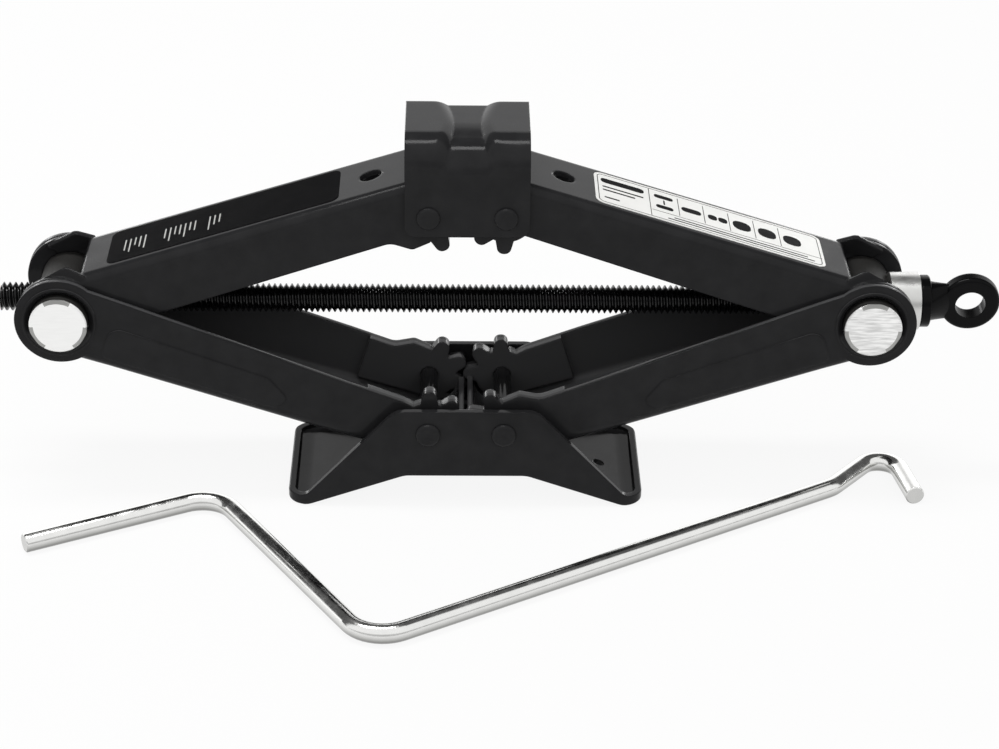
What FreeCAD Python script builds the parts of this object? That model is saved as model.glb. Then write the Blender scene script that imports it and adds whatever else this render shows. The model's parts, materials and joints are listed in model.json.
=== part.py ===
"""Scissor jack: base, four toothed channel arms, saddle, two trunnions, lead screw and crank.

The origin is on the floor under the middle of the base. X runs along the screw, Y away from the front, Z up.
"""
import FreeCAD
import Part
import math
import os

V = FreeCAD.Vector

# Linkage
pivot_spacing = 33.4
arm_length = 168.0
rest_angle = 17.4
base_pin_height = 36.2

# Fits
running_clearance = 0.06
riveted_clearance = 0.02
side_play = 0.3
part_gap = 0.3
nest_gap = 0.3
floor_clearance = 0.3
nose_clearance = 0.7
base_side_gap = 2.9

# Pressed sheet
arm_sheet = 2.5
saddle_sheet = 2.5
base_sheet = 3.0
arm_inner_bend = 2.5

# Toothed ends
tooth_addendum = 1.2
tooth_dedendum = 4.4
tooth_pitch_angle = 42.4
tooth_phase = 2.4
tooth_backlash = 0.26
tooth_flank_angle = 12.4
tooth_tip_flat = 0.2
teeth_per_end = 3
gear_doubler = 3.5
doubler_length = 31.0
nose_start_angle = 32.0
nose_stop_angle = -15.0

# Arms
upper_half_width = 22.1
upper_edge_drop_eye = 11.1
upper_edge_drop_plain = 6.5
upper_edge_drop_humped = 7.7
lower_edge_drop_eye = 18.2
lower_edge_drop_plain = 9.2
lower_edge_drop_humped = 9.0
upper_eye_wall = 6.7
lower_eye_wall = 6.8
web_setback = 2.2
ear_reach = 10.0
ear_rise = 6.0
ear_round = 4.0
ear_foot = 17.0
ear_hinge = 11.5
ear_lean = 18.0
edge_round = 2.0
edge_stop = 14.0
hump_start = 19.5
hump_reach = 11.3
hump_foot = 3.0
hump_drop = 13.4
hump_dip_round = 8.0
hump_round = 3.5
flare_start = 26.0
flare_end_inset = 40.0
eye_rim_height = 0.7
eye_rim_width = 3.4
upper_eye_chamfer = 1.3
lower_eye_chamfer = 2.4
web_hole_radius = 5.0
web_hole_inset = 21.4
panel_height = 0.6
panel_start = 21.5
panel_end_inset = 62.0
panel_drop = 4.5
panel_round = 6.0

# Base
base_length = 158.2
base_arch_shoulder = 10.3
base_foot_length = 9.1
base_inner_corner = 6.0
base_lip = 4.8
base_wall_rise = 11.3
base_wall_shoulder = 14.6
base_toe_inset = 7.8
base_inner_bend = 9.0
base_edge_land = 1.8
base_lip_round = 1.0
base_toe_round = 8.0
base_wall_round = 10.0
base_foot_round = 2.0
base_hole_radius = 2.4
base_hole_inset = 18.6
base_hole_y = -5.8

# Saddle
saddle_end = 10.1
saddle_top = 35.0
saddle_skirt = 8.8
saddle_inner_bend = 3.5
saddle_corner = 4.5
valley_radius = 16.0
valley_middle_depth = 1.6
valley_arch_radius = 96.0
valley_crown_y = 5.0

# Riveted pins
pin_radius = 4.0
pin_head_height = 1.9
base_head_overhang = 1.5
saddle_head_overhang = 1.2
pin_head_round = 1.1

# Trunnions
trunnion_radius = 12.6
trunnion_overhang = 3.7
trunnion_chamfer = 0.6
stake_count = 3
stake_width = 1.9
stake_depth = 0.9
seat_flat = 2.3

# Lead screw
screw_radius = 6.35
thread_pitch = 2.54
thread_depth = 1.5
crest_width = 0.3
screw_overhang = 28.4
thread_runout = 26.0
shank_radius = 5.4

# Thrust bearing
race_height = 2.4
race_width = 6.1
ball_radius = 2.0
ball_spacing = 0.4
ball_clearance = 0.02
sleeve_wall = 1.3

# Screw eye
hub_gap = 1.9
hub_length = 4.46
collar_radius = 11.6
collar_height = 4.5
collar_round = 0.8
neck_run = 11.6
neck_blend = 9.0
neck_rise = 9.0
neck_half = 8.8
neck_tip_rise = 8.9
neck_tip_half = 3.4
hook_clearance = 2.4
eye_wall = 6.6
eye_thickness = 7.0
eye_land = 3.0
eye_tilt = 7.0

# Labels
label_start = 26.5
label_end_inset = 35.5
label_margin = 1.2
label_height = 0.25
label_corner = 4.0

# Crank
rod_radius = 4.3
grip_end_x = -190.8
grip_end_y = -74.6
grip_run = 90.5
grip_heading = 27.4
throw_run = 137.7
throw_heading = -59.1
shaft_run = 241.2
shaft_heading = 31.9
jog_run = 47.0
jog_heading = 51.0
hook_run = 44.5
hook_heading = -81.0
elbow_inner_radius = 11.7
jog_inner_radius = 11.7
hook_inner_radius = 5.2
rod_chamfer = 0.5

# Linkage places
half_spacing = pivot_spacing / 2
rest = math.radians(rest_angle)
trunnion_x = half_spacing + arm_length * math.cos(rest)
trunnion_z = base_pin_height + arm_length * math.sin(rest)
saddle_pin_z = base_pin_height + 2 * arm_length * math.sin(rest)

# Toothed ends: the teeth fill half of each pitch, less the backlash, where the two arms roll
tooth_tip_radius = half_spacing + tooth_addendum
tooth_root_radius = half_spacing - tooth_dedendum
tooth_foot = tooth_root_radius - arm_sheet
tooth_half = half_spacing * math.radians(tooth_pitch_angle) / 4 - tooth_backlash
flank = math.tan(math.radians(tooth_flank_angle))
tooth_tip_half = tooth_half - tooth_addendum * flank
tooth_foot_half = tooth_half + (half_spacing - tooth_foot) * flank
tooth_tip_round = (tooth_tip_half - tooth_tip_flat) / math.tan(math.radians(90 - tooth_flank_angle) / 2)

# Widths: the upper arms fold between the lower arms, which stand inside the base
lower_eye_half_width = upper_half_width + part_gap + side_play + arm_sheet
lower_half_width = upper_half_width + nest_gap + gear_doubler + arm_sheet
saddle_half_width = upper_half_width + part_gap + saddle_sheet
base_half_width = lower_half_width + base_side_gap + base_sheet
trunnion_half_length = lower_eye_half_width + eye_rim_height + trunnion_overhang

# Arm places, along the arm from the trunnion and up from the pivots' line
arm_bend = arm_inner_bend + arm_sheet
web_rise = half_spacing - nose_clearance
web_end = trunnion_radius + web_setback
web_gap_radius = math.hypot(web_end, web_rise)
flare_end = arm_length - flare_end_inset
eye_bore = trunnion_radius + running_clearance
pin_bore = pin_radius + running_clearance
upper_eye_radius = eye_bore + upper_eye_wall
lower_eye_radius = eye_bore + lower_eye_wall

# Bearing places along the screw
race_radius = shank_radius + race_width
race_bore = shank_radius + running_clearance
ball_circle = shank_radius + race_width / 2
ball_count = int(2 * math.pi * ball_circle / (2 * ball_radius + ball_spacing))
race_x = trunnion_x + trunnion_radius - seat_flat
ball_x = race_x + race_height + ball_clearance + ball_radius
turning_x = ball_x + ball_radius + ball_clearance
hub_x = turning_x + race_height
collar_x = hub_x + hub_length
sleeve_length = collar_x - part_gap - race_x

# How far a cut runs past the face that it opens, and through the whole jack
PAST = 1.0
LONG = 4 * arm_length
X_AXIS = V(1, 0, 0)
Y_AXIS = V(0, 1, 0)
Z_AXIS = V(0, 0, 1)


def rounded_wire(corners, place):
    """Closed wire through (a, b, radius) corners, where place turns (a, b) into a point."""
    edges = []
    joints = []
    for number, (a, b, radius) in enumerate(corners):
        corner = place(a, b)
        before = place(*corners[number - 1][:2])
        after = place(*corners[(number + 1) % len(corners)][:2])
        if radius == 0:
            joints.append((corner, corner))
            continue
        back = (before - corner).normalize()
        ahead = (after - corner).normalize()
        half = math.acos(max(-1.0, min(1.0, back.dot(ahead)))) / 2
        run = radius / math.tan(half)
        middle = corner + (back + ahead).normalize() * (radius / math.sin(half) - radius)
        start, end = corner + back * run, corner + ahead * run
        edges.append(Part.Arc(start, middle, end).toShape())
        joints.append((start, end))
    for number, (start, end) in enumerate(joints):
        following = joints[(number + 1) % len(joints)][0]
        if (following - end).Length > 1e-6:
            edges.append(Part.makeLine(end, following))
    return Part.Wire(Part.__sortEdges__(edges))


def side_prism(corners, low_y, high_y):
    """Solid with an outline in the XZ plane, from low_y to high_y."""
    face = Part.Face(rounded_wire(corners, lambda x, z: V(x, low_y, z)))
    return face.extrude(V(0, high_y - low_y, 0))


def plan_prism(corners, low_z, high_z):
    """Solid with an outline in the XY plane, from low_z to high_z."""
    face = Part.Face(rounded_wire(corners, lambda x, y: V(x, y, low_z)))
    return face.extrude(V(0, 0, high_z - low_z))


def cross_cylinder(radius, x, z, low_y, high_y):
    """Cylinder along Y."""
    return Part.makeCylinder(radius, high_y - low_y, V(x, low_y, z), Y_AXIS)


def screw_cylinder(radius, low_x, high_x):
    """Cylinder along the lead screw's axis."""
    return Part.makeCylinder(radius, high_x - low_x, V(low_x, 0, trunnion_z), X_AXIS)


def rectangle(half_length, half_width, corner):
    """Corners of a rounded rectangle about the origin."""
    signs = ((-1, -1), (1, -1), (1, 1), (-1, 1))
    return [(a * half_length, b * half_width, corner) for a, b in signs]


def rims(solid):
    """The closed edges round a turned solid."""
    return [edge for edge in solid.Edges if edge.isClosed()]


def fuse_all(shapes):
    """One solid from touching shapes."""
    return shapes[0].multiFuse(shapes[1:]).removeSplitter()


# Arms are built along X from the trunnion at 0 to the toothed pivot at arm_length, with the web on top.
def channel(eye_half_width, gear_half_width, depth):
    """Bent sheet channel whose flanges flare from the eye to the toothed end."""
    sections = []
    stations = (
        (-2 * lower_eye_radius, eye_half_width),
        (flare_start, eye_half_width),
        (flare_end, gear_half_width),
        (arm_length + 2 * tooth_tip_radius, gear_half_width),
    )
    for along, half_width in stations:
        inner = half_width - arm_sheet
        web_inner = web_rise - arm_sheet
        section = (
            (half_width, -depth, 0),
            (half_width, web_rise, arm_bend),
            (-half_width, web_rise, arm_bend),
            (-half_width, -depth, 0),
            (-inner, -depth, 0),
            (-inner, web_inner, arm_inner_bend),
            (inner, web_inner, arm_inner_bend),
            (inner, -depth, 0),
        )
        sections.append(rounded_wire(section, lambda y, z: V(along, y, z)))
    return Part.makeLoft(sections, True, True)


def tooth(angle, low_y, high_y):
    """One round-tipped tooth about the toothed pivot, at an angle from +X towards +Z."""
    outline = (
        (arm_length + tooth_foot, -tooth_foot_half, 0),
        (arm_length + tooth_tip_radius, -tooth_tip_half, tooth_tip_round),
        (arm_length + tooth_tip_radius, tooth_tip_half, tooth_tip_round),
        (arm_length + tooth_foot, tooth_foot_half, 0),
    )
    solid = side_prism(outline, low_y, high_y)
    solid.rotate(V(arm_length, 0, 0), Y_AXIS, -angle)
    return solid


def gear_sector(start_angle, low_y, high_y):
    """Wedge about the toothed pivot, from an angle off +X up to the web's side."""
    reach = 2 * web_rise
    start = math.radians(start_angle)
    outline = (
        (arm_length, 0, 0),
        (arm_length + reach * math.cos(start), reach * math.sin(start), 0),
        (arm_length + reach, reach, 0),
        (arm_length, reach, 0),
    )
    return side_prism(outline, low_y, high_y)


def toothed_end(phase, low_y, high_y):
    """Root disc, smooth nose on the web's side and the teeth that mesh with the partner arm."""
    root = cross_cylinder(tooth_root_radius, arm_length, 0, low_y, high_y)
    nose = cross_cylinder(web_rise, arm_length, 0, low_y, high_y)
    pieces = [root, nose.common(gear_sector(nose_start_angle, low_y, high_y))]
    for number in range(teeth_per_end):
        pieces.append(tooth(-rest_angle - phase - number * tooth_pitch_angle, low_y, high_y))
    return fuse_all(pieces)


def flange_outline(eye_radius, eye_drop, gear_drop, humped, phase, low_y, high_y):
    """Side outline of a flange with its eye, its free edge, plain or humped, and its toothed end."""
    edge_end = [(arm_length - edge_stop, -gear_drop, edge_round)]
    if humped:
        edge_end = [
            (arm_length - hump_start, -gear_drop, hump_dip_round),
            (arm_length - hump_reach, -hump_drop, hump_round),
            (arm_length - hump_foot, -tooth_root_radius, 0),
        ]
    outline = [
        (-PAST, -eye_drop, 0),
        *edge_end,
        (arm_length, -tooth_root_radius / 2, 0),
        (arm_length, 2 * web_rise, 0),
        (-PAST, 2 * web_rise, 0),
    ]
    bar = side_prism(outline, low_y, high_y)
    eye = cross_cylinder(eye_radius, 0, 0, low_y, high_y)
    return fuse_all([bar, eye, toothed_end(phase, low_y, high_y)])


def nose_shell(inner_half_width):
    """The web's end, curled round the toothed pivot."""
    reach = (-inner_half_width, inner_half_width)
    ring = cross_cylinder(web_rise, arm_length, 0, *reach)
    ring = ring.cut(cross_cylinder(web_rise - arm_sheet, arm_length, 0, *reach))
    return ring.common(gear_sector(nose_stop_angle, *reach))


def arm(eye_half_width, gear_half_width, eye_radius, drops):
    """Channel arm with its eyes, a plain and a humped flange, doubled tooth plates and bores."""
    eye_drop, plain_drop, humped_drop = drops
    sides = (
        (1, plain_drop, False, tooth_phase),
        (-1, humped_drop, True, tooth_phase - tooth_pitch_angle / 2),
    )
    outlines = []
    doublers = []
    for side, gear_drop, humped, phase in sides:
        shape = (eye_radius, eye_drop, gear_drop, humped, phase)
        reach = sorted((0, side * 2 * gear_half_width))
        outlines.append(flange_outline(*shape, *reach))
        face = gear_half_width - arm_sheet / 2
        layer = sorted((side * face, side * (gear_half_width - arm_sheet - gear_doubler)))
        plate = flange_outline(*shape, *layer)
        fold = arm_length - doubler_length
        far = arm_length + 2 * web_rise
        window = (
            (fold, -2 * web_rise, 0),
            (far, -2 * web_rise, 0),
            (far, web_rise - arm_bend, 0),
            (fold, web_rise - arm_bend, 0),
        )
        doublers.append(plate.common(side_prism(window, *layer)))
    body = channel(eye_half_width, gear_half_width, 2 * web_rise).common(fuse_all(outlines))
    eyes = []
    for side in (1, -1):
        low, high = sorted((side * (eye_half_width - arm_sheet), side * eye_half_width))
        eyes.append(cross_cylinder(eye_radius, 0, 0, low, high))
    nose = nose_shell(gear_half_width - arm_sheet - gear_doubler - part_gap)
    body = fuse_all([body, nose] + doublers + eyes)
    web_gap = cross_cylinder(web_gap_radius, 0, 0, arm_sheet - eye_half_width, eye_half_width - arm_sheet)
    through = 2 * gear_half_width
    cuts = [
        web_gap,
        cross_cylinder(eye_bore, 0, 0, -through, through),
        cross_cylinder(pin_bore, arm_length, 0, -through, through),
    ]
    return body.cut(Part.makeCompound(cuts))


def eye_details(body, half_width, rim, chamfer):
    """Raised rim and chamfer round each eye's bore."""
    face = half_width + rim
    for side in (1, -1):
        axis = V(0, side, 0)
        if rim:
            ring = Part.makeCylinder(eye_bore + eye_rim_width, rim, V(0, side * half_width, 0), axis)
            body = body.fuse(ring.cut(cross_cylinder(eye_bore, 0, 0, -2 * face, 2 * face)))
        start = V(0, side * (face - chamfer), 0)
        body = body.cut(Part.makeCone(eye_bore, eye_bore + chamfer, chamfer, start, axis))
    return body.removeSplitter()


def raised_panels():
    """Shallow pressed panels on the lower arm's flared flanges, with bevelled edges."""
    end = arm_length - panel_end_inset
    foot = web_rise - arm_bend
    outline = (
        (panel_start, -panel_drop, panel_round),
        (end - 2 * panel_round, -panel_drop / 2, panel_round),
        (end, foot / 2, panel_round / 2),
        (end - panel_round, foot, panel_round / 2),
        (panel_start, foot, panel_round / 2),
    )
    flare = math.degrees(math.atan2(lower_half_width - lower_eye_half_width, flare_end - flare_start))
    panels = []
    for side in (1, -1):
        inner = side * (lower_eye_half_width - arm_sheet)
        outer = side * (lower_eye_half_width + panel_height)
        panel = side_prism(outline, min(inner, outer), max(inner, outer))
        panel.rotate(V(flare_start, side * lower_eye_half_width, 0), Z_AXIS, side * flare)
        panels.append(panel)
    return panels


def upright_ears():
    """Ears that stand up from the upper arm's flanges beside the eye and lean in over the channel."""
    tip_rise = web_rise + ear_rise
    leave = math.atan2(tip_rise, ear_reach) + math.acos(upper_eye_radius / math.hypot(tip_rise, ear_reach))
    outline = (
        (0, ear_hinge, 0),
        (upper_eye_radius * math.cos(leave), upper_eye_radius * math.sin(leave), 0),
        (ear_reach, tip_rise, ear_round),
        (ear_foot, web_rise, 0),
        (ear_foot, ear_hinge, 0),
    )
    bore = cross_cylinder(eye_bore, 0, 0, -LONG, LONG)
    ears = []
    for side in (1, -1):
        face = side * upper_half_width
        ear = side_prism(outline, *sorted((face, face - side * arm_sheet)))
        ear.rotate(V(0, face, ear_hinge), X_AXIS, side * ear_lean)
        ears.append(ear.cut(bore))
    return ears


def make_upper_arm():
    drops = (upper_edge_drop_eye, upper_edge_drop_plain, upper_edge_drop_humped)
    body = arm(upper_half_width, upper_half_width, upper_eye_radius, drops)
    body = fuse_all([body] + upright_ears())
    start = V(arm_length - web_hole_inset, 0, web_rise / 2)
    hole = Part.makeCylinder(web_hole_radius, web_rise, start, Z_AXIS)
    return eye_details(body.cut(hole), upper_half_width, 0, upper_eye_chamfer)


def make_lower_arm():
    drops = (lower_edge_drop_eye, lower_edge_drop_plain, lower_edge_drop_humped)
    body = arm(lower_eye_half_width, lower_half_width, lower_eye_radius, drops)
    body = body.fuse(raised_panels())
    return eye_details(body, lower_eye_half_width, eye_rim_height, lower_eye_chamfer)


def place_upper(shape):
    """Upper left arm from its own axes to the jack's."""
    shape.rotate(V(0, 0, 0), Y_AXIS, -rest_angle)
    shape.translate(V(-trunnion_x, 0, trunnion_z))
    return shape


def place_lower(shape):
    """Lower left arm from its own axes to the jack's, with the web underneath."""
    shape.rotate(V(0, 0, 0), X_AXIS, 180)
    shape.rotate(V(0, 0, 0), Y_AXIS, rest_angle)
    shape.translate(V(-trunnion_x, 0, trunnion_z))
    return shape


def turned_round(shape):
    """The same pressing on the other side: half a turn about Z."""
    other = shape.copy()
    other.rotate(V(0, 0, 0), Z_AXIS, 180)
    return other


def base_outline(inset):
    """Half of the base's arched underside, lifted by the sheet's thickness for its upper face."""
    arch = base_pin_height - tooth_tip_radius - floor_clearance - base_sheet
    arch_half = half_spacing + base_arch_shoulder
    foot_start = base_length / 2 - base_foot_length
    shift = inset * math.tan(math.atan2(arch, foot_start - arch_half) / 2)
    bend = base_inner_bend + base_sheet
    return [
        (foot_start + shift, inset, bend - inset),
        (arch_half + shift, arch + inset, bend + inset),
    ]


def mirrored(corners):
    """Corners of the +X half, joined to their mirror image."""
    return corners + [(-x, z, radius) for x, z, radius in corners[::-1]]


def borders_underside(solid, edge):
    """Whether an edge lies between the underside and an upright face."""
    steep, upright = 0.5, 0.1
    downs = []
    for face in solid.ancestorsOfType(edge, Part.Face):
        low_u, high_u, low_v, high_v = face.ParameterRange
        downs.append(-face.normalAt((low_u + high_u) / 2, (low_v + high_v) / 2).z)
    return max(downs) > steep and min(downs) < upright


def with_pin_holes(body, z):
    """Body with the holes that the two riveted pins are seated in."""
    for x in (-half_spacing, half_spacing):
        body = body.cut(cross_cylinder(pin_radius + riveted_clearance, x, z, -LONG, LONG))
    return body


def make_base():
    end = base_length / 2
    inner_end = end - base_sheet
    inner_half = base_half_width - base_sheet
    wall_top = base_pin_height + base_wall_rise
    half_outer = [
        (half_spacing + base_wall_shoulder, wall_top, base_wall_round),
        (end - base_toe_inset, base_lip, base_toe_round),
        (end, base_lip, base_lip_round),
        (end, 0, 0),
    ]
    half_inner = [(inner_end, 2 * wall_top, 0), (inner_end, base_sheet, base_foot_round)]
    plan = rectangle(end, base_half_width, base_inner_corner + base_sheet)
    shell = side_prism(mirrored(half_outer + base_outline(0)), -base_half_width, base_half_width)
    shell = shell.common(plan_prism(plan, -PAST, wall_top + PAST))
    lower_edges = [edge for edge in shell.Edges if borders_underside(shell, edge)]
    shell = shell.makeFillet(base_sheet - base_edge_land, lower_edges)
    inner_plan = rectangle(inner_end, inner_half, base_inner_corner)
    hollow = side_prism(mirrored(half_inner + base_outline(base_sheet)), -inner_half, inner_half)
    hollow = hollow.common(plan_prism(inner_plan, 0, 2 * wall_top))
    body = with_pin_holes(shell.cut(hollow), base_pin_height)
    hole = V(end - base_hole_inset, base_hole_y, -PAST)
    return body.cut(Part.makeCylinder(base_hole_radius, wall_top, hole, Z_AXIS))


def saddle_block(half_width, low, high, bend):
    """Solid bar along X with its two upper edges bent round."""
    length = half_spacing + saddle_end
    corners = (
        (half_width, low, 0),
        (half_width, high, bend),
        (-half_width, high, bend),
        (-half_width, low, 0),
    )
    face = Part.Face(rounded_wire(corners, lambda y, z: V(-length, y, z)))
    return face.extrude(V(2 * length, 0, 0))


def saddle_valley(radius):
    """Round groove across the saddle, shallowest in the middle."""
    crown = saddle_pin_z + saddle_top - valley_middle_depth
    centre = V(0, valley_crown_y, crown - valley_arch_radius)
    return Part.makeTorus(valley_arch_radius + valley_radius, radius, centre, X_AXIS)


def make_saddle():
    top = saddle_pin_z + saddle_top
    bottom = saddle_pin_z - saddle_skirt
    length = half_spacing + saddle_end
    inner_half = saddle_half_width - saddle_sheet
    outer = saddle_block(saddle_half_width, bottom, top, saddle_inner_bend + saddle_sheet)
    inner = saddle_block(inner_half, bottom - PAST, top - saddle_sheet, saddle_inner_bend)
    inner = inner.cut(saddle_valley(valley_radius + saddle_sheet))
    body = outer.cut(saddle_valley(valley_radius)).cut(inner)
    side = (
        (-length, bottom, saddle_corner),
        (length, bottom, saddle_corner),
        (length, top + PAST, 0),
        (-length, top + PAST, 0),
    )
    return with_pin_holes(body.common(side_prism(side, -LONG, LONG)), saddle_pin_z)


def make_pin(x, z, seat, head_radius):
    """Pin riveted over at both ends against the outer faces of the walls that carry it."""
    pieces = [cross_cylinder(pin_radius, x, z, -seat, seat)]
    for side in (1, -1):
        head = Part.makeCylinder(head_radius, pin_head_height, V(x, side * seat, z), V(0, side, 0))
        outer_rim = max(rims(head), key=lambda edge: abs(edge.CenterOfMass.y))
        pieces.append(head.makeFillet(pin_head_round, [outer_rim]))
    return fuse_all(pieces)


def make_trunnion(x):
    """Cross pin with chamfered ends, each with three sloping stake marks on its rim."""
    half = trunnion_half_length
    body = cross_cylinder(trunnion_radius, x, trunnion_z, -half, half)
    body = body.makeChamfer(trunnion_chamfer, rims(body))
    chord = trunnion_z + trunnion_radius - stake_width
    beyond = stake_width + PAST
    for side in (1, -1):
        slope = stake_depth / stake_width
        corners = (
            V(x - trunnion_radius, side * half, chord),
            V(x - trunnion_radius, side * (half + PAST), chord),
            V(x - trunnion_radius, side * (half + PAST), chord + beyond),
            V(x - trunnion_radius, side * (half - slope * beyond), chord + beyond),
        )
        mark = Part.Face(Part.makePolygon(corners + corners[:1])).extrude(V(2 * trunnion_radius, 0, 0))
        for number in range(stake_count):
            turned = mark.copy()
            turned.rotate(V(x, 0, trunnion_z), Y_AXIS, number * 360 / stake_count)
            body = body.cut(turned)
    return body


def make_trunnion_nut():
    bore = screw_cylinder(screw_radius + running_clearance, -LONG, 0)
    return make_trunnion(-trunnion_x).cut(bore)


def make_trunnion_block():
    body = make_trunnion(trunnion_x).cut(screw_cylinder(race_bore, 0, LONG))
    spot = screw_cylinder(race_radius + sleeve_wall + part_gap, race_x, race_x + trunnion_radius)
    return body.cut(spot)


def make_lead_screw():
    """Threaded rod, with its thread as equal grooves one pitch apart, and a plain shank at the right."""
    start = -trunnion_x - screw_overhang
    thread_end = trunnion_x - thread_runout
    root = screw_radius - thread_depth
    slope = (thread_pitch - crest_width) / 2
    points = [V(start, 0, 0), V(start, 0, root)]
    place = start
    while place + thread_pitch < thread_end:
        points.append(V(place + slope, 0, screw_radius))
        points.append(V(place + slope + crest_width, 0, screw_radius))
        place += thread_pitch
        points.append(V(place, 0, root))
    points += [V(place, 0, shank_radius), V(hub_x, 0, shank_radius), V(hub_x, 0, 0)]
    face = Part.Face(Part.makePolygon(points + points[:1]))
    body = face.revolve(V(0, 0, 0), X_AXIS, 360)
    body.translate(V(0, 0, trunnion_z))
    return body


def make_race(low_x):
    ring = screw_cylinder(race_radius, low_x, low_x + race_height)
    return ring.cut(screw_cylinder(race_bore, low_x - PAST, low_x + race_height + PAST))


def make_balls():
    balls = []
    for number in range(ball_count):
        angle = 2 * math.pi * number / ball_count
        out = V(0, math.cos(angle), math.sin(angle)) * ball_circle
        balls.append(Part.makeSphere(ball_radius, V(ball_x, 0, trunnion_z) + out))
    return Part.makeCompound(balls)


def make_sleeve():
    outer = screw_cylinder(race_radius + sleeve_wall, race_x, race_x + sleeve_length)
    bore = race_radius + running_clearance
    return outer.cut(screw_cylinder(bore, race_x - PAST, race_x + sleeve_length + PAST))


def make_screw_eye():
    """Hub, collar and a neck that flattens along the screw's axis into an eye for the crank's hook."""
    neck_x = collar_x + collar_height
    hole_radius = rod_radius + hook_clearance
    centre_x = neck_x + neck_run + hole_radius
    half = eye_thickness / 2
    hub = screw_cylinder(race_radius - hub_gap, hub_x, collar_x)
    collar = screw_cylinder(collar_radius, collar_x, neck_x)
    collar = collar.makeFillet(collar_round, rims(collar))
    stations = (
        (neck_x, neck_rise, neck_half),
        (neck_x + neck_blend, neck_tip_rise, neck_tip_half),
    )
    ovals = []
    for x, rise, side in stations:
        middle = V(x, 0, trunnion_z)
        oval = Part.Ellipse(middle + Z_AXIS * rise, middle + Y_AXIS * side, middle)
        ovals.append(Part.Wire(oval.toShape()))
    neck = Part.makeLoft(ovals, True)
    disc = cross_cylinder(hole_radius + eye_wall, centre_x, trunnion_z, -half, half)
    disc = disc.makeFillet((eye_thickness - eye_land) / 2, rims(disc))
    body = fuse_all([hub, collar, neck, disc])
    body = body.cut(cross_cylinder(hole_radius, centre_x, trunnion_z, -LONG, LONG))
    body.rotate(V(0, 0, trunnion_z), X_AXIS, eye_tilt)
    return body


def make_label():
    """Thin plate on an upper arm's web, in the arm's own axes."""
    half_length = (arm_length - label_end_inset - label_start) / 2
    half_width = upper_half_width - arm_bend - label_margin
    shape = plan_prism(rectangle(half_length, half_width, label_corner), 0, label_height)
    shape.translate(V(label_start + half_length, 0, web_rise))
    return shape


def make_crank():
    """Round rod bent flat: grip, throw, shaft, a small jog and a hook."""
    runs = (
        (grip_run, grip_heading, elbow_inner_radius + rod_radius),
        (throw_run, throw_heading, elbow_inner_radius + rod_radius),
        (shaft_run, shaft_heading, jog_inner_radius + rod_radius),
        (jog_run, jog_heading, hook_inner_radius + rod_radius),
        (hook_run, hook_heading, 0),
    )
    corner = V(grip_end_x, grip_end_y, rod_radius)
    start = corner
    solids = []
    for number, (run, heading, bend) in enumerate(runs):
        turn = math.radians(heading)
        ahead = V(math.cos(turn), math.sin(turn), 0)
        corner = corner + ahead * run
        if bend == 0:
            solids.append(Part.makeCylinder(rod_radius, (corner - start).Length, start, ahead))
            break
        sweep = runs[number + 1][1] - heading
        tangent = bend * math.tan(math.radians(abs(sweep)) / 2)
        bend_start = corner - ahead * tangent
        solids.append(Part.makeCylinder(rod_radius, (bend_start - start).Length, start, ahead))
        side = 1 if sweep > 0 else -1
        centre = bend_start + V(-ahead.y, ahead.x, 0) * side * bend
        section = Part.Face(Part.Wire(Part.makeCircle(rod_radius, bend_start, ahead)))
        solids.append(section.revolve(centre, Z_AXIS * side, abs(sweep)))
        leave = math.radians(runs[number + 1][1])
        start = corner + V(math.cos(leave), math.sin(leave), 0) * tangent
    rod = fuse_all(solids)
    tips = (V(grip_end_x, grip_end_y, rod_radius), corner)
    ends = [min(rims(rod), key=lambda edge: (edge.CenterOfMass - tip).Length) for tip in tips]
    return rod.makeChamfer(rod_chamfer, ends)


def build():
    upper_left = place_upper(make_upper_arm())
    lower_left = place_lower(make_lower_arm())
    label_left = place_upper(make_label())
    parts = {
        "base_plate": make_base(),
        "lower_arm_left": lower_left,
        "lower_arm_right": turned_round(lower_left),
        "upper_arm_left": upper_left,
        "upper_arm_right": turned_round(upper_left),
        "label_left": label_left,
        "label_right": turned_round(label_left),
        "saddle": make_saddle(),
        "trunnion_nut": make_trunnion_nut(),
        "trunnion_block": make_trunnion_block(),
        "lead_screw": make_lead_screw(),
        "screw_eye": make_screw_eye(),
        "bearing_sleeve": make_sleeve(),
        "thrust_race_fixed": make_race(race_x),
        "thrust_balls": make_balls(),
        "thrust_race_turning": make_race(turning_x),
        "crank_handle": make_crank(),
    }
    base_head = pin_radius + base_head_overhang
    saddle_head = pin_radius + saddle_head_overhang
    for name, x in (("left", -half_spacing), ("right", half_spacing)):
        parts["base_pin_" + name] = make_pin(x, base_pin_height, base_half_width, base_head)
        parts["saddle_pin_" + name] = make_pin(x, saddle_pin_z, saddle_half_width, saddle_head)
    return parts


os.makedirs("parts", exist_ok=True)
for node, shape in build().items():
    shape.exportStep("parts/" + node + ".step")
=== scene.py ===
"""Scissor jack: paint, plating, the cut thread, the pressed saddle and blank labels over the fixed frame."""
import json
import math

import bpy
from bpy.props import FloatProperty, FloatVectorProperty, IntProperty, PointerProperty, StringProperty
from mathutils import Matrix, Vector


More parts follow.
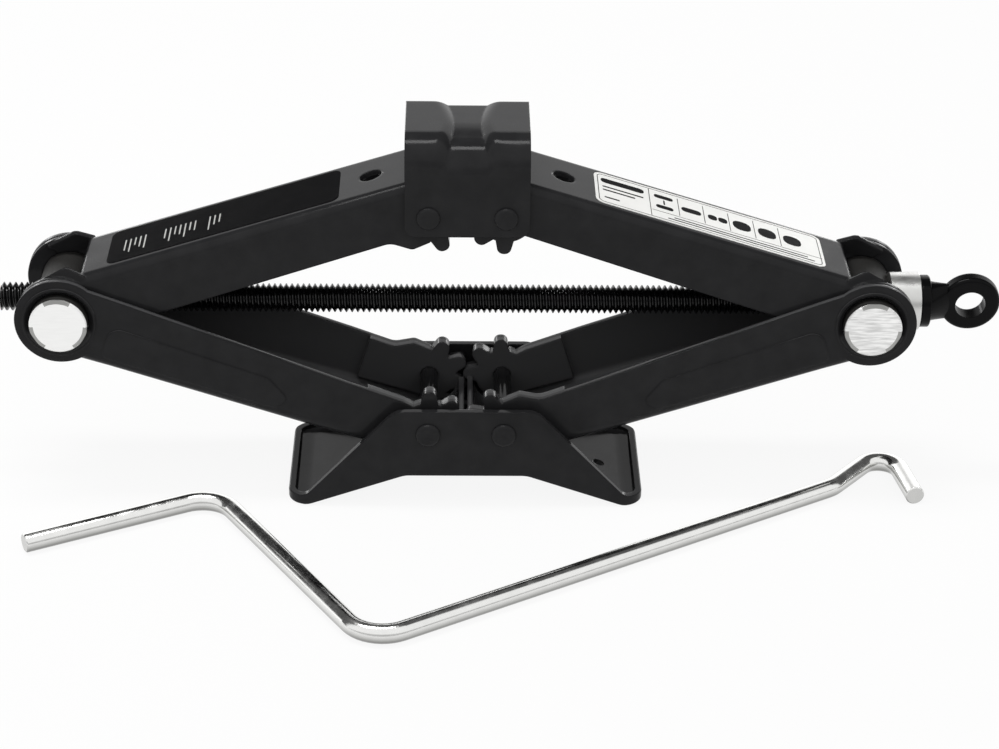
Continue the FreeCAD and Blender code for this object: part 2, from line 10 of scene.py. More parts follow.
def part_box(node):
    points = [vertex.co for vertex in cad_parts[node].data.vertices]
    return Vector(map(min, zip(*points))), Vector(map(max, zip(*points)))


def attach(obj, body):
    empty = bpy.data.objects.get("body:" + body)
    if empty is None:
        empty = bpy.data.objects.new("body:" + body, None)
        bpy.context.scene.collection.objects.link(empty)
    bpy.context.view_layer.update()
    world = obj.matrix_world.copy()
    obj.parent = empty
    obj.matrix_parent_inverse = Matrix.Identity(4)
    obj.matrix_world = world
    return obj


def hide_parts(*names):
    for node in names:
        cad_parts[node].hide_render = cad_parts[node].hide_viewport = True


bl_info = {
    "name": "Scissor Jack",
    "version": (1, 0, 0),
    "blender": (4, 5, 0),
    "location": "View3D > Sidebar > Jack",
    "description": "Dresses a scissor jack in black powder coat, bright plating and blank labels",
    "category": "Object",
}

MM = 0.001
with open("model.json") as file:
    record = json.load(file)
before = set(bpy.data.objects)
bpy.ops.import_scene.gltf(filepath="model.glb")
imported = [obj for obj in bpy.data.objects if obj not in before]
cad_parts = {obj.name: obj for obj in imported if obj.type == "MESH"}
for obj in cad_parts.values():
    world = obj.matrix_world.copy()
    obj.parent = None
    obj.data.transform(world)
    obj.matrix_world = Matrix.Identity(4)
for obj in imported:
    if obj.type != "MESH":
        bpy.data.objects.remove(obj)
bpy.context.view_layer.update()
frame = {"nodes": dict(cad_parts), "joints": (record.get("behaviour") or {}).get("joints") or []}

# Pivots, at the height that the frame is built for
joints = {joint["name"]: joint for joint in frame["joints"]}
TRUNNION = Vector(joints["screw_spin"]["pos_m"])
BASE_PIN = Vector(joints["lower_right_swing"]["pos_m"])
SADDLE_PIN = Vector(joints["saddle_level"]["pos_m"])
ARM_SLOPE = math.atan2(TRUNNION.z - BASE_PIN.z, TRUNNION.x - BASE_PIN.x)

# Fineness of the meshes and of the rounded edges in the finishes, with the corner's step in degrees
FACETS = 48
RIM_STEPS = 6
BEND_SEGMENTS = 14
CORNER_STEP = 15
EDGE_SAMPLES = 6
WELD = 0.01 * MM
CUT_TOLERANCE = 0.001 * MM
SMOOTH_ANGLE = math.radians(40)
THREAD_SMOOTH_ANGLE = math.radians(25)

# Sizes of the faint patterns in the finishes, and the range in which a noise's values mostly lie
COAT_CLOUD = 9 * MM
PLATING_CLOUD = 5 * MM
SKIN_GRIT = 0.9 * MM
NOISE_LOW = 0.3
NOISE_HIGH = 0.7

# A face begins and has come to look along an axis at these parts of its normal
LOOKS_LOW = 0.2
LOOKS_HIGH = 0.3

# A rivet's dish is this share of its depth at this share of its radius
DISH_RING_RADIUS = 0.6
DISH_RING_DEPTH = 0.7

# The saddle's valley deepens between these shares of the half width, counted towards the front
DEEPEN_START = -0.1
DEEPEN_END = 0.75

# Brightness of the surround at degrees from the front horizon, over the top, to the back horizon
SURROUND_STOPS = (
    (0, 0.4), (18, 0.4), (24, 0.75), (90, 0.75), (96, 0.07), (142, 0.07), (146, 1.0), (180, 1.0),
)

# Name, place, aim, width and depth in metres, and watts of each lamp
LAMPS = (
    ("softbox", (-0.24, 0.03, 1.3), (-0.24, 0.06, 0.1), 0.8, 0.24, 9.0),
    ("left_strip", (-0.62, 1.2, 0.23), (0, 0, 0.15), 0.3, 0.2, 1.1),
    ("right_strip", (0.62, 1.2, 0.23), (0, 0, 0.15), 0.3, 0.2, 1.1),
)

# The floor's side in metres, and the width of the camera's sensor in millimetres
FLOOR_SIZE = 12
SENSOR_WIDTH = 36.0


class JackPaint(bpy.types.PropertyGroup):
    """Black coat on the pressings, the pins, the screw and its eye"""

    coat: StringProperty(name="Coat", description="Colour of the powder coat", default="#1d1d1e")
    dust: StringProperty(
        name="Dust", description="Colour of the coat where it is a little dry", default="#2b2b2c"
    )
    # Painted light: the lower arms' insides are painted this lighter grey in place of the light that reaches
    # them
    painted_light_inside: StringProperty(
        name="Overspray", description="Colour of the dry coat inside the lower arms", default="#464647"
    )
    oxide: StringProperty(
        name="Oxide", description="Colour of the oiled screw and its eye", default="#0a0a0b"
    )
    roughness: FloatProperty(name="Roughness", description="Roughness of the powder coat", default=0.12)
    oil_roughness: FloatProperty(
        name="Oil roughness", description="Roughness of the oiled screw and its eye", default=0.2
    )
    edge_round: FloatProperty(
        name="Edge round", description="How far the coat rounds a sheet's edge",
        default=0.8 * MM, unit="LENGTH"
    )
    rolled: FloatProperty(
        name="Rolled", description="How far the arms' pressed edges are rolled",
        default=1.5 * MM, unit="LENGTH"
    )
    thread_round: FloatProperty(
        name="Thread round", description="How far a thread's crest is rounded",
        default=0.1 * MM, unit="LENGTH"
    )
    wall: FloatProperty(
        name="Wall", description="From a lower arm's widest face to its dry inside",
        default=2.4 * MM, unit="LENGTH"
    )
    peel: FloatProperty(
        name="Peel", description="Width of the coat's ripples", default=1.8 * MM, unit="LENGTH"
    )


class JackMetal(bpy.types.PropertyGroup):
    """Bright steel of the trunnions, the bearing and the crank"""

    turned: StringProperty(
        name="Turned", description="Colour of the trunnions' turned ends", default="#f9f9f8"
    )
    scale_skin: StringProperty(
        name="Skin", description="Colour of the trunnions' rough middles", default="#1a1917"
    )
    bare: FloatProperty(
        name="Bare", description="From the middle to a trunnion's bare end", default=28.7 * MM, unit="LENGTH"
    )
    streak: FloatProperty(
        name="Streak", description="Width of a tool mark", default=0.7 * MM, unit="LENGTH"
    )
    scratch: FloatProperty(name="Scratch", description="How much darker a tool mark is", default=0.03)
    # Painted shade: the right trunnion's tool marks are darker only because that end is less lit
    painted_shade_right: FloatProperty(
        name="Wear", description="How much darker still it is on the right trunnion", default=0.3
    )
    # Stake marks painted grey: painted shade on the dents' sloping faces
    stake_shade: StringProperty(
        name="Stake", description="Colour of the three stake marks on an end", default="#a0a09e"
    )
    stake_radius: FloatProperty(
        name="Stake radius", description="Inner radius of the stake marks", default=10.8 * MM, unit="LENGTH"
    )
    stake_arc: FloatProperty(
        name="Stake arc", description="How far a stake mark reaches round the rim",
        default=math.radians(56.17), subtype="ANGLE"
    )
    zinc: StringProperty(name="Zinc", description="Colour of the plated crank", default="#f0f0ee")
    # Painted shade: the crank is painted darker where its surface faces down
    painted_shade: StringProperty(name="Dull", description="Colour of the crank's dull underside", default="#8e8e8c")
    sleeve: StringProperty(name="Sleeve", description="Colour of the bearing's sleeve", default="#d6d6d4")


class JackRivet(bpy.types.PropertyGroup):
    """Riveted pins of the base and the saddle"""

    shank: FloatProperty(name="Shank", description="Radius of a pin", default=4.0 * MM, unit="LENGTH")
    height: FloatProperty(name="Height", description="Height of a head", default=1.9 * MM, unit="LENGTH")
    rim: FloatProperty(name="Rim", description="Radius of a head's rim", default=1.7 * MM, unit="LENGTH")
    dish: FloatProperty(name="Dish", description="Depth of a head's dish", default=0.6 * MM, unit="LENGTH")
    dish_radius: FloatProperty(
        name="Dish radius", description="Radius of the dish", default=3.3 * MM, unit="LENGTH"
    )


class JackScrew(bpy.types.PropertyGroup):
    """Cut thread of the lead screw"""

    radius: FloatProperty(
        name="Radius", description="Radius over the crests", default=6.35 * MM, unit="LENGTH"
    )
    pitch: FloatProperty(name="Pitch", description="One turn's advance", default=2.54 * MM, unit="LENGTH")
    depth: FloatProperty(name="Depth", description="Crest to root", default=1.5 * MM, unit="LENGTH")
    crest: FloatProperty(
        name="Crest", description="Width of the flat crest", default=0.36 * MM, unit="LENGTH"
    )
    root: FloatProperty(name="Root", description="Width of the flat root", default=0.3 * MM, unit="LENGTH")
    shank: FloatProperty(
        name="Shank", description="Radius of the plain shank", default=5.4 * MM, unit="LENGTH"
    )
    runout: FloatProperty(
        name="Runout", description="From the thread's end to the right trunnion",
        default=26.0 * MM, unit="LENGTH"
    )
    steps: IntProperty(name="Steps", description="Facets in one turn", default=36)


class JackSaddle(bpy.types.PropertyGroup):
    """Pressed saddle with two pads and a waisted valley"""

    sheet: FloatProperty(
        name="Sheet", description="Thickness of the sheet", default=2.5 * MM, unit="LENGTH"
    )
    front_bend: FloatProperty(
        name="Front bend", description="Outer radius at the front", default=13.6 * MM, unit="LENGTH"
    )
    back_bend: FloatProperty(
        name="Back bend", description="Outer radius at the back", default=4.4 * MM, unit="LENGTH"
    )
    corner: FloatProperty(
        name="Corner", description="Radius of the lower corners", default=4.5 * MM, unit="LENGTH"
    )
    cell: FloatProperty(
        name="Cell", description="Size of the sheet's mesh cells", default=0.8 * MM, unit="LENGTH"
    )
    waist: FloatProperty(
        name="Waist", description="Half width of the valley's waist", default=6.2 * MM, unit="LENGTH"
    )
    mouth: FloatProperty(
        name="Mouth", description="Half width of the valley's mouths", default=9.6 * MM, unit="LENGTH"
    )
    shoulder: FloatProperty(
        name="Shoulder", description="Width of a pad's rolled edge", default=4.2 * MM, unit="LENGTH"
    )
    spread: FloatProperty(
        name="Spread", description="How much wider it is at a mouth", default=1.8 * MM, unit="LENGTH"
    )
    back_depth: FloatProperty(
        name="Back depth", description="Depth at the waist and back", default=1.9 * MM, unit="LENGTH"
    )
    front_depth: FloatProperty(
        name="Front depth", description="Depth at the front mouth", default=3.7 * MM, unit="LENGTH"
    )
    dent: FloatProperty(
        name="Dent", description="Depth of the dent under the front mouth", default=0.9 * MM, unit="LENGTH"
    )
    fade: FloatProperty(
        name="Fade", description="How far below a bend the valley ends", default=16.0 * MM, unit="LENGTH"
    )
    pin_hole: FloatProperty(
        name="Pin hole", description="Radius of the pin holes", default=4.02 * MM, unit="LENGTH"
    )


class JackLabel(bpy.types.PropertyGroup):
    """Blank printed films on the upper arms"""

    dark_film: StringProperty(name="Dark film", description="Colour of the left label", default="#0d0d0e")
    pale_film: StringProperty(name="Pale film", description="Colour of the right label", default="#dededb")
    dark_ink: StringProperty(name="Dark ink", description="Print on the right label", default="#121213")
    pale_ink: StringProperty(name="Pale ink", description="Print on the left label", default="#a4a4a1")
    start: FloatProperty(
        name="Start", description="From the trunnion to the film", default=26.5 * MM, unit="LENGTH"
    )
    length: FloatProperty(
        name="Length", description="Length of the film", default=106.0 * MM, unit="LENGTH"
    )
    half_width: FloatProperty(
        name="Half width", description="Half the film's width", default=15.9 * MM, unit="LENGTH"
    )
    rise: FloatProperty(
        name="Rise", description="From the pivots' line to the film's face", default=16.25 * MM, unit="LENGTH"
    )
    ink: FloatProperty(name="Ink", description="Thickness of the print", default=0.05 * MM, unit="LENGTH")
    margin: FloatProperty(
        name="Margin", description="From the film's edge to its border line", default=1.4 * MM, unit="LENGTH"
    )
    line: FloatProperty(name="Line", description="Width of the border line", default=0.35 * MM, unit="LENGTH")


class JackStage(bpy.types.PropertyGroup):
    """Floor, surround and camera"""

    floor: StringProperty(name="Floor", description="Colour of the floor", default="#e8e8e7")
    glow: FloatProperty(
        name="Glow", description="Share of plain white in the floor as the camera sees it", default=0.9
    )
    surround: FloatProperty(
        name="Surround", description="Brightness of the studio's white sides", default=1.3
    )
    lens: FloatProperty(name="Lens", description="Focal length in millimetres", default=101.86)
    camera: FloatVectorProperty(
        name="Camera", description="Where the camera stands",
        default=(-0.005887, -1.122296, 0.643609), subtype="XYZ"
    )
    pitch: FloatProperty(
        name="Pitch", description="How far the camera looks down", default=0.4876, subtype="ANGLE"
    )
    yaw: FloatProperty(name="Yaw", description="How far the camera turns", default=-0.0187, subtype="ANGLE")
    roll: FloatProperty(
        name="Roll", description="How far the camera leans", default=0.0135, subtype="ANGLE"
    )


class JackSettings(bpy.types.PropertyGroup):
    """All settings of the jack"""

    paint: PointerProperty(type=JackPaint)
    metal: PointerProperty(type=JackMetal)
    rivet: PointerProperty(type=JackRivet)
    screw: PointerProperty(type=JackScrew)
    saddle: PointerProperty(type=JackSaddle)
    label: PointerProperty(type=JackLabel)
    stage: PointerProperty(type=JackStage)


def linear(hex_colour):
    """A linear RGBA colour from an sRGB hex value."""
    channels = [int(hex_colour[place:place + 2], 16) / 255 for place in (1, 3, 5)]
    return [c / 12.92 if c <= 0.04045 else ((c + 0.055) / 1.055) ** 2.4 for c in channels] + [1.0]


def add_node(tree, kind, settings=None, inputs=None):
    """Add a node, set its own properties, and set or link its inputs by name or number."""
    made = tree.nodes.new(kind)
    for name, value in (settings or {}).items():
        setattr(made, name, value)
    for name, value in (inputs or {}).items():
        if isinstance(value, bpy.types.NodeSocket):
            tree.links.new(value, made.inputs[name])
        else:
            made.inputs[name].default_value = value
    return made


def new_material(name):
    """An empty node material and its tree."""
    material = bpy.data.materials.new(name)
    material.use_nodes = True
    material.node_tree.nodes.clear()
    return material, material.node_tree


def scale_for(size):
    """Texture scale whose features are about this size in metres."""
    return 1.0 / size


def channel_inside(tree, place, half_width):
    """Mask of a channel's inside: walls that look inwards, and the web within a half width that looks up."""
    axes = add_node(tree, "ShaderNodeSeparateXYZ", None, {"Vector": place})
    facing = add_node(tree, "ShaderNodeTexCoord").outputs["Normal"]
    looks = add_node(tree, "ShaderNodeSeparateXYZ", None, {"Vector": facing})
    side = add_node(tree, "ShaderNodeMath", {"operation": "SIGN"}, {0: axes.outputs["Y"]})
    outwards = add_node(tree, "ShaderNodeMath", {"operation": "MULTIPLY"}, {
        0: looks.outputs["Y"], 1: side.outputs[0]})
    wall = add_node(tree, "ShaderNodeMapRange", None, {
        "Value": outwards.outputs[0], "From Min": -LOOKS_HIGH, "From Max": -LOOKS_LOW,
        "To Min": 1.0, "To Max": 0.0})
    reach = add_node(tree, "ShaderNodeMath", {"operation": "ABSOLUTE"}, {0: axes.outputs["Y"]})
    within = add_node(tree, "ShaderNodeMapRange", None, {
        "Value": reach.outputs[0], "From Min": half_width - 0.5 * MM, "From Max": half_width,
        "To Min": 1.0, "To Max": 0.0})
    up = add_node(tree, "ShaderNodeMapRange", None, {
        "Value": looks.outputs["Z"], "From Min": LOOKS_LOW, "From Max": LOOKS_HIGH})
    web = add_node(tree, "ShaderNodeMath", {"operation": "MULTIPLY"}, {
        0: within.outputs["Result"], 1: up.outputs["Result"]})
    either = add_node(tree, "ShaderNodeMath", {"operation": "MAXIMUM"}, {
        0: wall.outputs["Result"], 1: web.outputs[0]})
    return either.outputs[0]


def powder_coat(name, colour, dry, paint, roughness, edge_round, inside=0.0, ior=1.17):
    """Powder coat over pressed steel: a soft shine, fine ripples and edges rounded by the coat's thickness.

    Inside a channel of this half width the coat is painted a lighter grey, as painted light that stands in
    for light reaching inside.
    The IOR is lower than a cured coat's, matched to how little of the lamps the black pressings show.
    """
    material, tree = new_material(name)
    place = add_node(tree, "ShaderNodeTexCoord").outputs["Object"]
    cloud = add_node(tree, "ShaderNodeTexNoise", None, {
        "Vector": place, "Scale": scale_for(COAT_CLOUD), "Detail": 4.0})
    ripple = add_node(tree, "ShaderNodeTexNoise", None, {
        "Vector": place, "Scale": scale_for(paint.peel), "Detail": 1.5})
    tint = add_node(tree, "ShaderNodeMix", {"data_type": "RGBA"}, {
        "Factor": cloud.outputs["Fac"], "A": linear(colour), "B": linear(dry)})
    # Painted light: the channel's inside is painted lighter grey in place of the light that reaches it
    if inside:
        tint = add_node(tree, "ShaderNodeMix", {"data_type": "RGBA"}, {
            "Factor": channel_inside(tree, place, inside), "A": tint.outputs["Result"],
            "B": linear(paint.painted_light_inside)})
    shine = add_node(tree, "ShaderNodeMapRange", None, {
        "Value": cloud.outputs["Fac"], "From Min": NOISE_LOW, "From Max": NOISE_HIGH,
        "To Min": roughness - 0.04, "To Max": roughness + 0.05})
    edge = add_node(tree, "ShaderNodeBevel", {"samples": EDGE_SAMPLES}, {"Radius": edge_round})
    bump = add_node(tree, "ShaderNodeBump", None, {
        "Strength": 0.1, "Distance": 0.05 * MM, "Height": ripple.outputs["Fac"],
        "Normal": edge.outputs["Normal"]})
    shader = add_node(tree, "ShaderNodeBsdfPrincipled", None, {
        "Base Color": tint.outputs["Result"], "Roughness": shine.outputs["Result"], "IOR": ior,
        "Normal": bump.outputs["Normal"]})
    add_node(tree, "ShaderNodeOutputMaterial", None, {"Surface": shader.outputs["BSDF"]})
    return material


def plated_steel(name, colour, roughness, grain, painted_shade=None):
    """Bright plated steel: clear reflections, with faint cloudy wear and fine drawing marks.

    Where a painted shade colour is given, the underside is painted darker towards it, as painted shade for
    the floor's shadow that the rod mirrors.
    """
    material, tree = new_material(name)
    place = add_node(tree, "ShaderNodeTexCoord").outputs["Object"]
    cloud = add_node(tree, "ShaderNodeTexNoise", None, {
        "Vector": place, "Scale": scale_for(PLATING_CLOUD), "Detail": 5.0})
    marks = add_node(tree, "ShaderNodeTexNoise", None, {
        "Vector": place, "Scale": scale_for(grain), "Detail": 2.0})
    tint = add_node(tree, "ShaderNodeMapRange", None, {
        "Value": cloud.outputs["Fac"], "From Min": NOISE_LOW, "From Max": NOISE_HIGH,
        "To Min": 0.92, "To Max": 1.0})
    base = add_node(tree, "ShaderNodeMix", {"data_type": "RGBA", "blend_type": "MULTIPLY"}, {
        "Factor": 1.0, "A": linear(colour), "B": tint.outputs["Result"]})
    # Painted shade: darker where the normal turns down, standing in for the shadow under the rod
    if painted_shade:
        facing = add_node(tree, "ShaderNodeTexCoord").outputs["Normal"]
        looks = add_node(tree, "ShaderNodeSeparateXYZ", None, {"Vector": facing})
        up = add_node(tree, "ShaderNodeMapRange", None, {
            "Value": looks.outputs["Z"], "From Min": -0.4, "From Max": 0.35})
        base = add_node(tree, "ShaderNodeMix", {"data_type": "RGBA"}, {
            "Factor": up.outputs["Result"], "A": linear(painted_shade), "B": base.outputs["Result"]})
    shine = add_node(tree, "ShaderNodeMapRange", None, {
        "Value": cloud.outputs["Fac"], "From Min": NOISE_LOW, "From Max": NOISE_HIGH,
        "To Min": roughness - 0.05, "To Max": roughness + 0.08})
    edge = add_node(tree, "ShaderNodeBevel", {"samples": EDGE_SAMPLES}, {"Radius": 0.3 * MM})
    bump = add_node(tree, "ShaderNodeBump", None, {
        "Strength": 0.1, "Distance": 0.03 * MM, "Height": marks.outputs["Fac"],
        "Normal": edge.outputs["Normal"]})
    shader = add_node(tree, "ShaderNodeBsdfPrincipled", None, {
        "Base Color": base.outputs["Result"], "Metallic": 1.0, "Roughness": shine.outputs["Result"],
        "Normal": bump.outputs["Normal"]})
    add_node(tree, "ShaderNodeOutputMaterial", None, {"Surface": shader.outputs["BSDF"]})
    return material


def stake_marks(tree, axes, metal):
    """Mask of three arcs on the rim of a trunnion's end, the first at the top, alike on both trunnions."""
    out = add_node(tree, "ShaderNodeMath", {"operation": "ABSOLUTE"}, {0: axes.outputs["X"]})
    right = add_node(tree, "ShaderNodeMath", {"operation": "SUBTRACT"}, {0: out.outputs[0], 1: TRUNNION.x})
    rise = add_node(tree, "ShaderNodeMath", {"operation": "SUBTRACT"}, {
        0: axes.outputs["Z"], 1: TRUNNION.z})
    turn = add_node(tree, "ShaderNodeMath", {"operation": "ARCTAN2"}, {
        0: rise.outputs[0], 1: right.outputs[0]})
    thirds = add_node(tree, "ShaderNodeMath", {"operation": "MULTIPLY_ADD"}, {
        0: turn.outputs[0], 1: 3.0, 2: math.pi / 2})
    wave = add_node(tree, "ShaderNodeMath", {"operation": "COSINE"}, {0: thirds.outputs[0]})
    arc = add_node(tree, "ShaderNodeMath", {"operation": "GREATER_THAN"}, {
        0: wave.outputs[0], 1: math.cos(3 * metal.stake_arc / 2)})
    flat = add_node(tree, "ShaderNodeCombineXYZ", None, {"X": right.outputs[0], "Z": rise.outputs[0]})
    radius = add_node(tree, "ShaderNodeVectorMath", {"operation": "LENGTH"}, {0: flat.outputs[0]})
    rim = add_node(tree, "ShaderNodeMath", {"operation": "GREATER_THAN"}, {
        0: radius.outputs["Value"], 1: metal.stake_radius})
    both = add_node(tree, "ShaderNodeMath", {"operation": "MULTIPLY"}, {0: arc.outputs[0], 1: rim.outputs[0]})
    return both.outputs[0]


def turned_steel(name, metal):
    """Trunnion bar: rough dark skin in the middle, and bare bright ends with straight tool marks.

    The tool marks on the right trunnion's ends are painted darker, as painted shade, since the left end
    stands in brighter light; every end has three stake marks on its rim, painted grey as painted shade on
    their sloping faces.
    """
    material, tree = new_material(name)
    place = add_node(tree, "ShaderNodeTexCoord").outputs["Object"]
    axes = add_node(tree, "ShaderNodeSeparateXYZ", None, {"Vector": place})
    out = add_node(tree, "ShaderNodeMath", {"operation": "ABSOLUTE"}, {0: axes.outputs["Y"]})
    bare = add_node(tree, "ShaderNodeMapRange", None, {
        "Value": out.outputs[0], "From Min": metal.bare, "From Max": metal.bare + 0.2 * MM})
    stretch = add_node(tree, "ShaderNodeMapping", None, {"Vector": place, "Scale": (0.1, 1.0, 1.0)})
    marks = add_node(tree, "ShaderNodeTexNoise", None, {
        "Vector": stretch.outputs["Vector"], "Scale": scale_for(metal.streak), "Detail": 4.0})
    grit = add_node(tree, "ShaderNodeTexNoise", None, {
        "Vector": place, "Scale": scale_for(SKIN_GRIT), "Detail": 3.0})
    # Painted shade: darker tool marks on the right trunnion, the less lit of two alike ends
    side = add_node(tree, "ShaderNodeMath", {"operation": "GREATER_THAN"}, {0: axes.outputs["X"], 1: 0.0})
    darkest = add_node(tree, "ShaderNodeMath", {"operation": "MULTIPLY_ADD"}, {
        0: side.outputs[0], 1: -metal.painted_shade_right, 2: 1 - metal.scratch})
    line = add_node(tree, "ShaderNodeMapRange", None, {
        "Value": marks.outputs["Fac"], "From Min": 0.35, "From Max": 0.65,
        "To Min": darkest.outputs[0], "To Max": 1.0})
    bright = add_node(tree, "ShaderNodeMix", {"data_type": "RGBA", "blend_type": "MULTIPLY"}, {
        "Factor": 1.0, "A": linear(metal.turned), "B": line.outputs["Result"]})
    # Painted shade: the stake marks' arcs are painted grey for the shade on their sloping faces
    stake_shaded = add_node(tree, "ShaderNodeMix", {"data_type": "RGBA"}, {
        "Factor": stake_marks(tree, axes, metal), "A": bright.outputs["Result"], "B": linear(metal.stake_shade)})
    tint = add_node(tree, "ShaderNodeMix", {"data_type": "RGBA"}, {
        "Factor": bare.outputs["Result"], "A": linear(metal.scale_skin), "B": stake_shaded.outputs["Result"]})
    shine = add_node(tree, "ShaderNodeMapRange", None, {
        "Value": bare.outputs["Result"], "To Min": 0.6, "To Max": 0.34})
    height = add_node(tree, "ShaderNodeMix", {"data_type": "FLOAT"}, {
        "Factor": bare.outputs["Result"], "A": grit.outputs["Fac"], "B": marks.outputs["Fac"]})
    edge = add_node(tree, "ShaderNodeBevel", {"samples": EDGE_SAMPLES}, {"Radius": 0.4 * MM})
    bump = add_node(tree, "ShaderNodeBump", None, {
        "Strength": 0.25, "Distance": 0.08 * MM, "Height": height.outputs["Result"],
        "Normal": edge.outputs["Normal"]})
    shader = add_node(tree, "ShaderNodeBsdfPrincipled", None, {
        "Base Color": tint.outputs["Result"], "Metallic": bare.outputs["Result"],
        "Roughness": shine.outputs["Result"], "Normal": bump.outputs["Normal"]})
    add_node(tree, "ShaderNodeOutputMaterial", None, {"Surface": shader.outputs["BSDF"]})
    return material


def printed_film(name, colour, roughness, ior=1.5):
    """Vinyl label film or its ink: smooth, faintly uneven where it follows the coat below."""
    material, tree = new_material(name)
    place = add_node(tree, "ShaderNodeTexCoord").outputs["Object"]
    cloud = add_node(tree, "ShaderNodeTexNoise", None, {
        "Vector": place, "Scale": scale_for(COAT_CLOUD), "Detail": 3.0})
    tint = add_node(tree, "ShaderNodeMapRange", None, {
        "Value": cloud.outputs["Fac"], "From Min": NOISE_LOW, "From Max": NOISE_HIGH,
        "To Min": 0.93, "To Max": 1.0})
    base = add_node(tree, "ShaderNodeMix", {"data_type": "RGBA", "blend_type": "MULTIPLY"}, {
        "Factor": 1.0, "A": linear(colour), "B": tint.outputs["Result"]})
    shine = add_node(tree, "ShaderNodeMapRange", None, {
        "Value": cloud.outputs["Fac"], "From Min": NOISE_LOW, "From Max": NOISE_HIGH,
        "To Min": roughness - 0.04, "To Max": roughness + 0.04})
    bump = add_node(tree, "ShaderNodeBump", None, {
        "Strength": 0.1, "Distance": 0.05 * MM, "Height": cloud.outputs["Fac"]})
    shader = add_node(tree, "ShaderNodeBsdfPrincipled", None, {
        "Base Color": base.outputs["Result"], "Roughness": shine.outputs["Result"], "IOR": ior,
        "Normal": bump.outputs["Normal"]})
    add_node(tree, "ShaderNodeOutputMaterial", None, {"Surface": shader.outputs["BSDF"]})
    return material


def dress(material, nodes):
    """Give frame nodes a material."""
    for name in nodes:
        slots = frame["nodes"][name].data.materials
        slots.clear()
        slots.append(material)


def start_piece():
    """Leave edit mode and deselect everything, so that the next primitive is alone."""
    if bpy.context.object and bpy.context.object.mode != "OBJECT":
        bpy.ops.object.mode_set(mode="OBJECT")
    bpy.ops.object.select_all(action="DESELECT")
    bpy.context.tool_settings.mesh_select_mode = (True, False, False)


def pick(piece, kind, wanted):
    """In edit mode, select just the edges whose two ends, or the faces whose normal, pass a test."""
    bpy.ops.object.mode_set(mode="EDIT")
    bpy.ops.mesh.select_mode(type=kind)
    bpy.ops.mesh.select_all(action="DESELECT")
    bpy.ops.object.mode_set(mode="OBJECT")
    mesh = piece.data
    if kind == "EDGE":
        for edge in mesh.edges:
            edge.select = wanted(*[mesh.vertices[end].co for end in edge.vertices])
    else:
        for face in mesh.polygons:
            face.select = wanted(face.normal)
    bpy.ops.object.mode_set(mode="EDIT")


def smooth(value, low, high):
    """A smooth step from 0 at low to 1 at high."""
    share = min(max((value - low) / (high - low), 0.0), 1.0)
    return share * share * (3 - 2 * share)


def finish_piece(piece, name, material, body, replaced=()):
    """Name a piece, put its place in its mesh, and set what it rides on and stands for."""
    start_piece()
    piece.select_set(True)
    bpy.context.view_layer.objects.active = piece
    bpy.ops.object.transform_apply(location=True, rotation=True, scale=True)
    piece.name = name
    piece.data.materials.clear()
    piece.data.materials.append(material)
    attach(piece, body)
    if replaced:
        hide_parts(*replaced)


class JACK_OT_coat_pressings(bpy.types.Operator):
    """Coat the base and the arms"""

    bl_idname = "jack.coat_pressings"
    bl_label = "Coat Pressings"

    def execute(self, context):
        paint = context.scene.jack.paint
        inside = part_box("lower_arm_left")[1].y - paint.wall
        # The lower arms' insides are painted lighter, as painted light
        for name, edge_round, half_width, nodes in (
            ("satin_black_powder_coat", paint.edge_round, 0.0, ["base_plate"]),
            ("rolled_edge_powder_coat", paint.rolled, 0.0, ["upper_arm_left", "upper_arm_right"]),
            ("painted_light_inside_powder_coat", paint.rolled, inside, ["lower_arm_left", "lower_arm_right"]),
        ):
            coat = powder_coat(name, paint.coat, paint.dust, paint, paint.roughness, edge_round, half_width)
            dress(coat, nodes)
        return {"FINISHED"}


